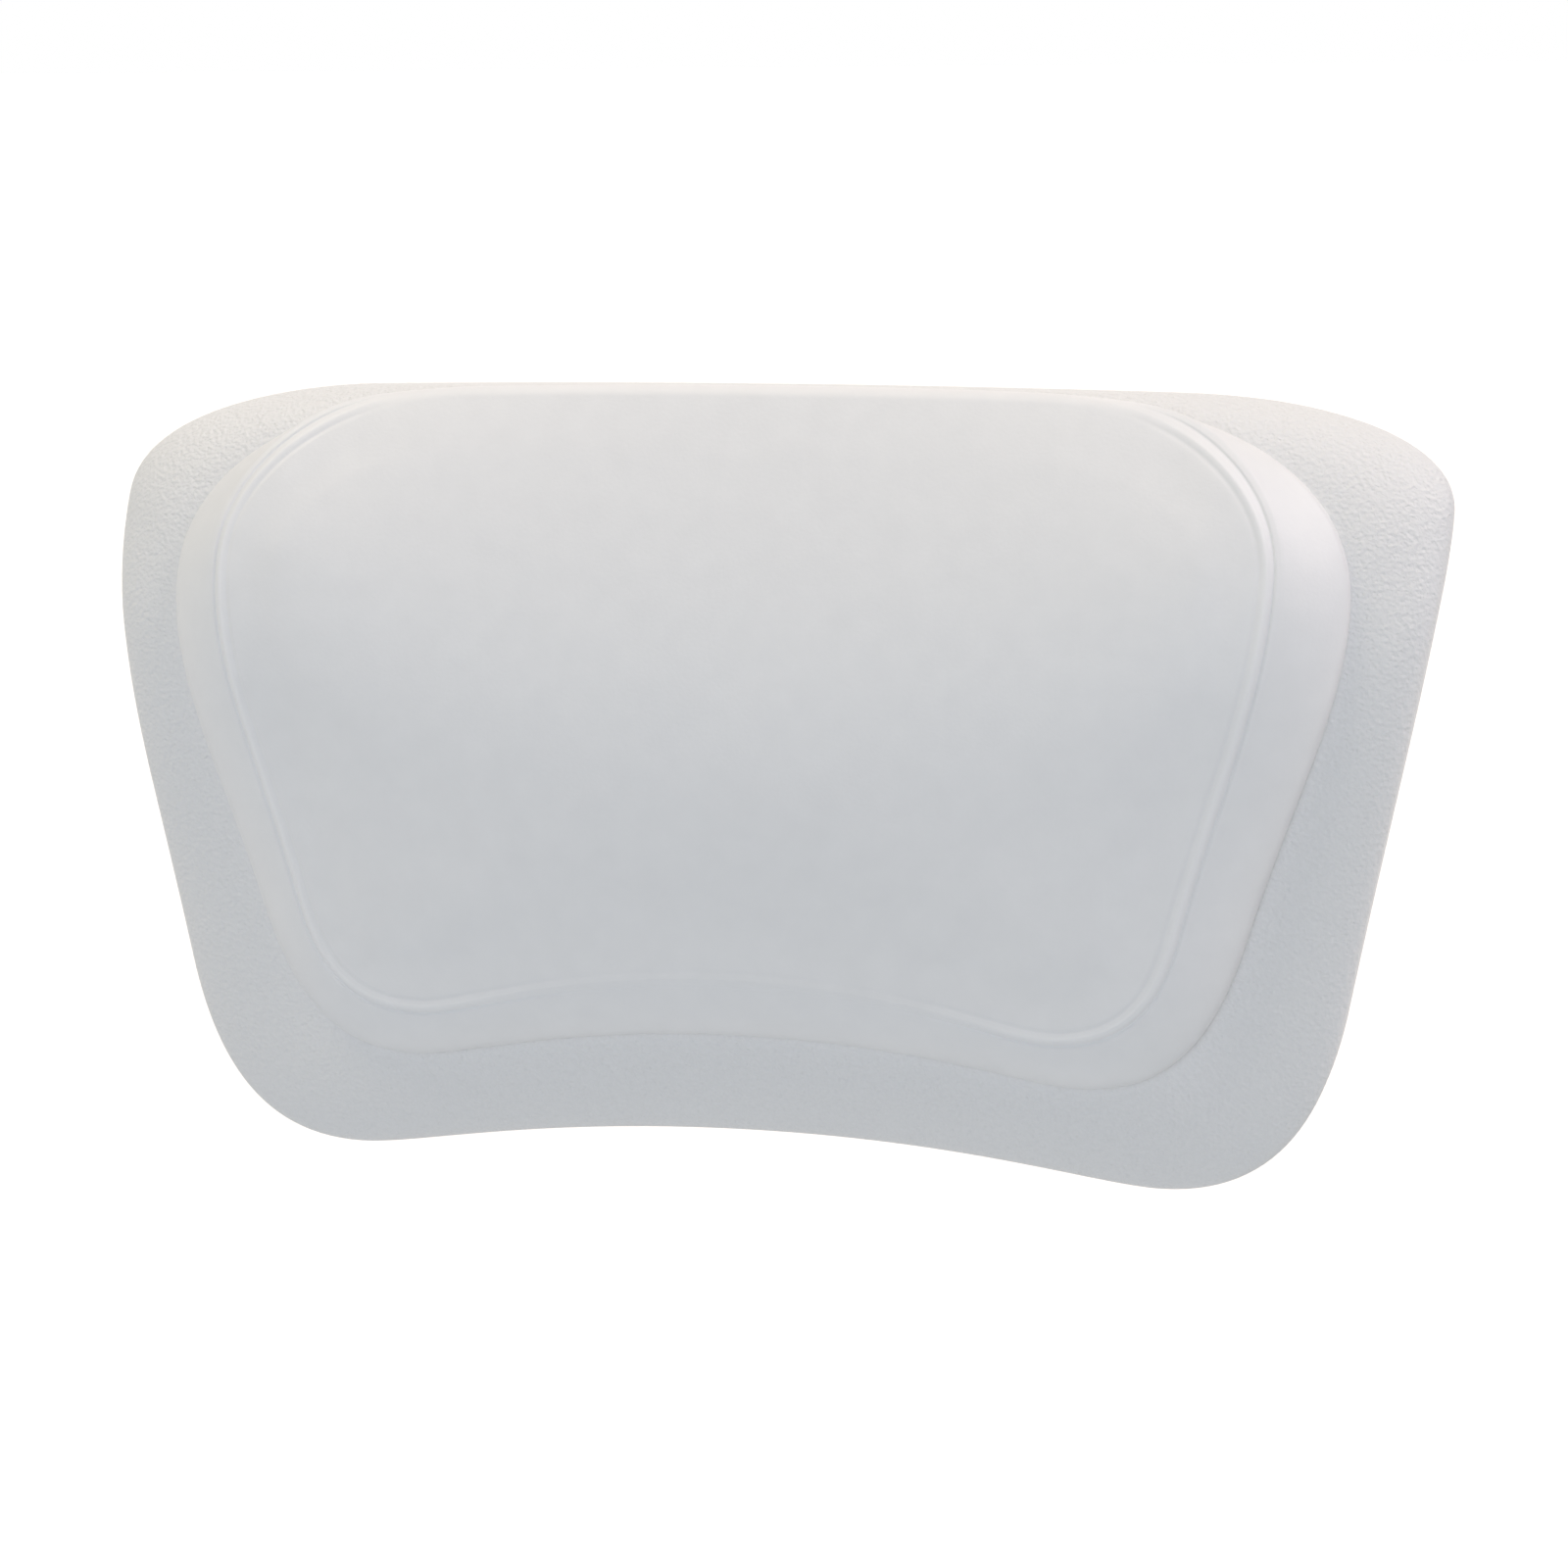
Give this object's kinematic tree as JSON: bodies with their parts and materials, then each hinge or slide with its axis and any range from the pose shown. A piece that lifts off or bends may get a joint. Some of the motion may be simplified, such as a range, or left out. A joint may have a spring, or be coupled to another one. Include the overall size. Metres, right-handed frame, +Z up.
{
  "type": "bath pillow",
  "caption": "Moulded foam headrest for a bathtub, with a raised and creased head pad, an arched neck edge and suction cups on its flat back.",
  "frame": {"origin": "on the tub wall, behind the middle of the pillow", "axes": "+Y points into the tub wall, so the head pad faces -Y; +X is to the right as the pad is seen; +Z is up"},
  "size_m": [0.304, 0.0671, 0.1723],
  "materials": {
    "grained_skin": "white moulded polyurethane skin with a fine leather grain, semi-matte",
    "smooth_skin": "white moulded polyurethane skin, smooth, satin",
    "foam": "cream open-cell polyurethane foam, matte",
    "soft_foam": "pale soft polyurethane foam, matte",
    "stiff_plastic": "natural polypropylene, satin",
    "clear_vinyl": "clear soft vinyl, glossy"
  },
  "bodies": {
    "pillow": {"body_skin": "grained_skin", "back_skin": "grained_skin", "pad_skin": "smooth_skin", "body_foam": "foam", "pad_foam": "soft_foam", "carrier_plate": "stiff_plastic", "socket_upper_left": "stiff_plastic", "socket_upper_right": "stiff_plastic", "socket_lower_left": "stiff_plastic", "socket_lower_right": "stiff_plastic"},
    "cup_upper_left": {"suction_cup_upper_left": "clear_vinyl"},
    "cup_upper_right": {"suction_cup_upper_right": "clear_vinyl"},
    "cup_lower_left": {"suction_cup_lower_left": "clear_vinyl"},
    "cup_lower_right": {"suction_cup_lower_right": "clear_vinyl"}
  },
  "joints": [
    {"name": "cup_turn_upper_left", "type": "hinge", "parent": "pillow", "child": "cup_upper_left", "pos_m": [-0.087, 0, 0.0313], "axis": [0, 1, 0], "continuous": true},
    {"name": "cup_turn_upper_right", "type": "hinge", "parent": "pillow", "child": "cup_upper_right", "pos_m": [0.087, 0, 0.0313], "axis": [0, 1, 0], "continuous": true},
    {"name": "cup_turn_lower_left", "type": "hinge", "parent": "pillow", "child": "cup_lower_left", "pos_m": [-0.0702, 0, -0.032], "axis": [0, 1, 0], "continuous": true},
    {"name": "cup_turn_lower_right", "type": "hinge", "parent": "pillow", "child": "cup_lower_right", "pos_m": [0.0702, 0, -0.032], "axis": [0, 1, 0], "continuous": true}
  ]
}
